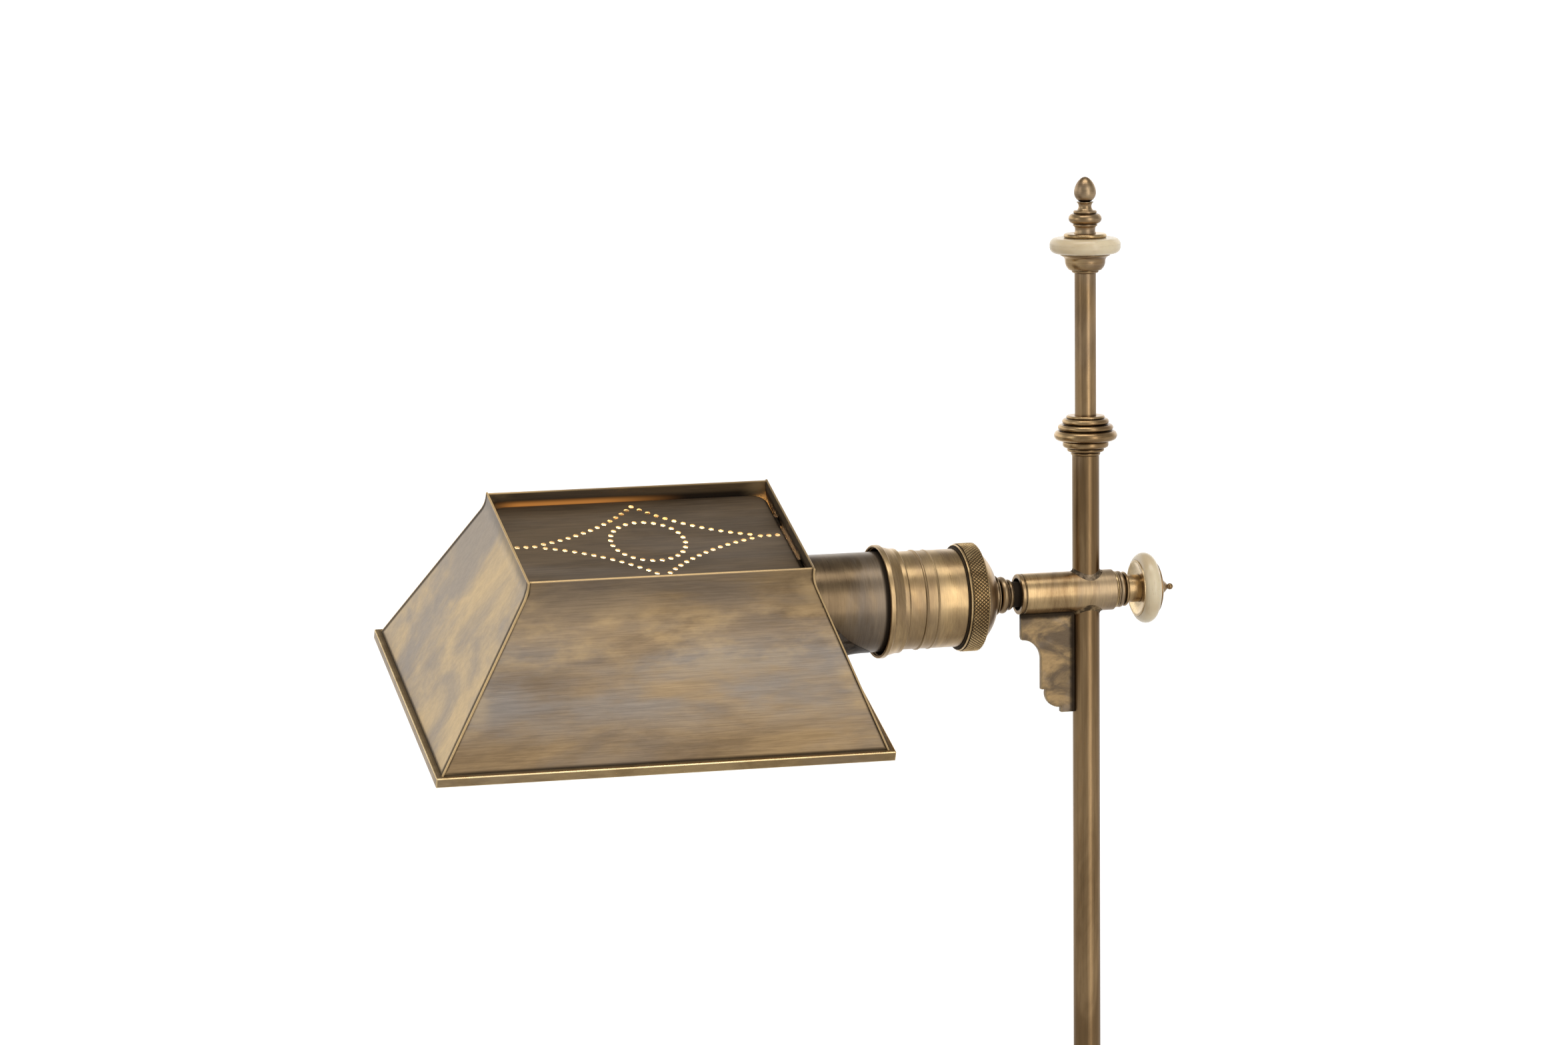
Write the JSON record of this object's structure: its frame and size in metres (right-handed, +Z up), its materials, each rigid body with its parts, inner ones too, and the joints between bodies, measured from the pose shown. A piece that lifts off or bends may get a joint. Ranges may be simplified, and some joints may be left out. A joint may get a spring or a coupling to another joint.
{
  "type": "floor lamp",
  "caption": "Antique brass reading floor lamp: punched four-sided shade tilting on a cross sleeve, turned spire above, telescoping turning mast on a round weighted base.",
  "frame": {"origin": "on the floor, under the axis of the mast, at the middle of the base's felt", "axes": "+Z up along the mast; the shade reaches along -X, the tilt knob points along +X, and the front of the shade faces -Y"},
  "size_m": [0.4477, 0.2526, 1.3535],
  "materials": {
    "antique_brass": "antique brushed brass",
    "bright_brass": "worn bright brass",
    "dark_brass": "dark patinated brass",
    "bone": "polished bone",
    "porcelain": "glazed porcelain",
    "bulb_glass": "opal glass",
    "cap_metal": "plain",
    "steel": "zinc plated",
    "weight_iron": "as cast",
    "felt": "pressed felt",
    "lead_sheath": "sheathed lead",
    "bush_plastic": "nylon",
    "fibre": "vulcanised fibre",
    "gland_rubber": "moulded rubber"
  },
  "bodies": {
    "base": {"base_felt": "felt", "base_weight": "weight_iron", "base_cover": "antique_brass", "base_nipple": "steel", "base_nut": "steel", "base_washer": "steel", "cord_gland": "gland_rubber", "base_socket": "antique_brass", "lower_tube": "antique_brass", "gland_collar": "antique_brass", "gland_bush": "bush_plastic"},
    "height_screw": {"lock_screw": "bright_brass"},
    "slider": {"guide_bush": "bush_plastic"},
    "mast": {"mast_plug": "bright_brass", "retaining_ring": "steel", "mast_tube": "antique_brass", "upper_tube": "antique_brass", "cross_sleeve": "antique_brass", "stop_screw": "steel", "bracket": "antique_brass", "mast_collar": "antique_brass", "spire_rod": "antique_brass", "finial_cup": "antique_brass", "finial_ring": "bone", "finial_washer": "bright_brass", "finial": "antique_brass", "mast_lead": "lead_sheath"},
    "tilt_knob": {"knob_washer": "bright_brass", "knob_shank": "antique_brass", "knob_dish": "bright_brass", "knob_ring": "bone", "knob_cap": "antique_brass"},
    "arm": {"shade_front": "antique_brass", "shade_back": "antique_brass", "shade_outer_end": "antique_brass", "shade_inner_end": "antique_brass", "shade_rim": "bright_brass", "punched_panel": "dark_brass", "panel_clips": "dark_brass", "shade_tube": "dark_brass", "holder_shell": "antique_brass", "knurled_ring": "bright_brass", "holder_cap": "antique_brass", "holder_insulator": "porcelain", "screw_shell": "bright_brass", "centre_contact": "bright_brass", "bulb_glass": "bulb_glass", "bulb_cap": "cap_metal", "holder_neck": "antique_brass", "neck_nut": "bright_brass", "tilt_shaft": "dark_brass", "mouth_washer": "fibre", "arm_lead": "lead_sheath"}
  },
  "joints": [
    {"name": "mast_slide", "type": "slide", "parent": "base", "child": "slider", "axis": [0, 0, 1], "range_m": [-0.25, 0.15]},
    {"name": "mast_swivel", "type": "hinge", "parent": "slider", "child": "mast", "pos_m": [0, 0, 0.43], "axis": [0, 0, 1], "range_deg": [-170, 170]},
    {"name": "shade_tilt", "type": "hinge", "parent": "mast", "child": "arm", "pos_m": [0, 0, 1.16], "axis": [1, 0, 0], "range_deg": [-112, 67]},
    {"name": "tilt_knob_turn", "type": "hinge", "parent": "arm", "child": "tilt_knob", "pos_m": [0.02, 0, 1.16], "axis": [1, 0, 0], "range_deg": [0, 270]},
    {"name": "lock_screw_turn", "type": "hinge", "parent": "base", "child": "height_screw", "pos_m": [0.01, 0, 0.705], "axis": [1, 0, 0], "range_deg": [0, 270]}
  ]
}
